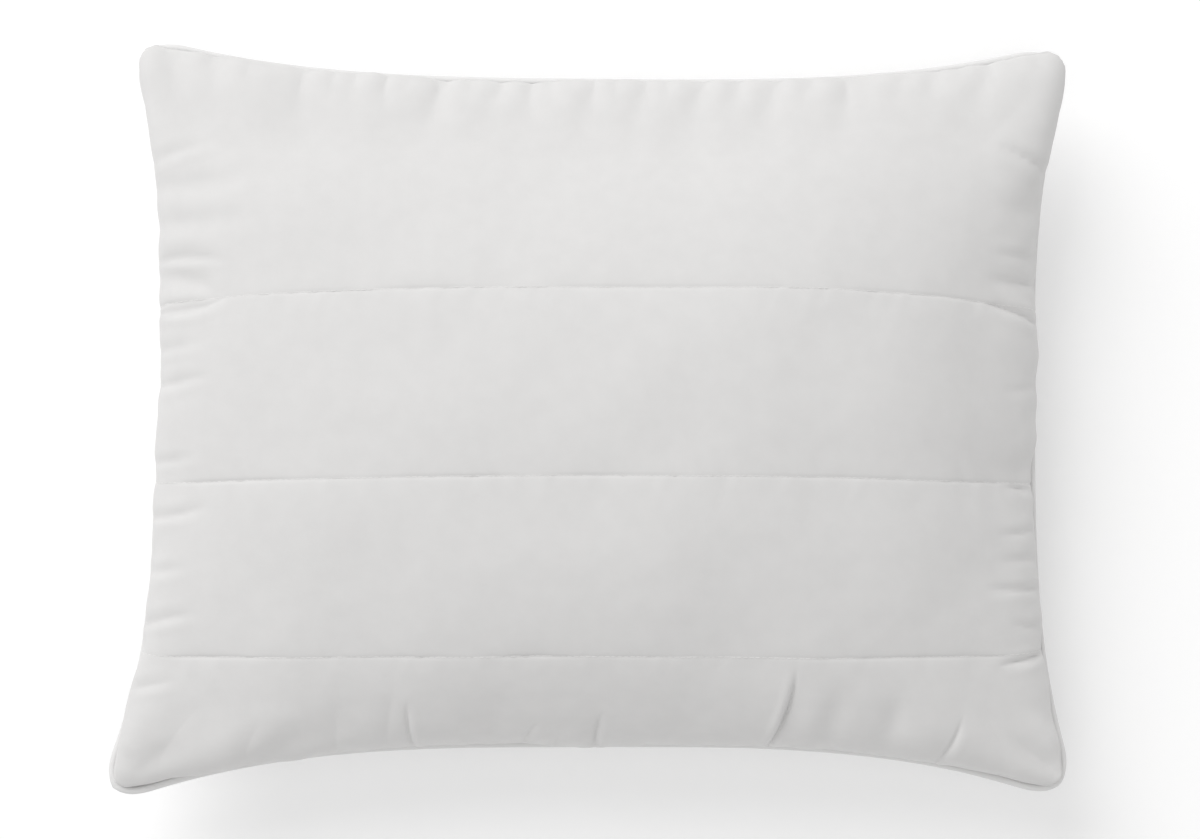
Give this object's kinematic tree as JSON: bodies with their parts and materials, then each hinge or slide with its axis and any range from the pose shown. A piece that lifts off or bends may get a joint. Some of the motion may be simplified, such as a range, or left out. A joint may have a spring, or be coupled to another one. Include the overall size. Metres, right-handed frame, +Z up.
{
  "type": "bed pillow",
  "caption": "Quilted bed pillow with a piped edge: two padded cotton panels with rows of stitching, sewn round a soft fibre filling.",
  "frame": {"origin": "middle of the flat patch on which the pillow lies, directly under the middle of its outline", "axes": "+X along the long side, +Y along the short side, +Z up out of the front panel"},
  "size_m": [0.65, 0.511, 0.17],
  "materials": {
    "cover_cloth": "matt white cotton percale",
    "piping_cloth": "matt white cotton bias strip",
    "piping_cord": "twisted cotton cord",
    "wadding": "white polyester wadding",
    "lining": "thin white nonwoven",
    "filling": "loose white polyester fibre",
    "thread": "white polyester thread",
    "label": "white satin tape"
  },
  "bodies": {
    "root": {"front_panel": "cover_cloth", "front_wadding": "wadding", "front_lining": "lining", "front_needle_thread_lower": "thread", "front_bobbin_thread_lower": "thread", "front_needle_thread_middle": "thread", "front_bobbin_thread_middle": "thread", "front_needle_thread_upper": "thread", "front_bobbin_thread_upper": "thread", "back_panel": "cover_cloth", "back_wadding": "wadding", "back_lining": "lining", "back_needle_thread_lower": "thread", "back_bobbin_thread_lower": "thread", "back_needle_thread_middle": "thread", "back_bobbin_thread_middle": "thread", "back_needle_thread_upper": "thread", "back_bobbin_thread_upper": "thread", "fibre_filling": "filling", "piping_cord": "piping_cord", "piping_cover": "piping_cloth", "edge_seam_needle_thread": "thread", "edge_seam_bobbin_thread": "thread", "closing_thread": "thread", "care_label": "label"}
  },
  "joints": []
}
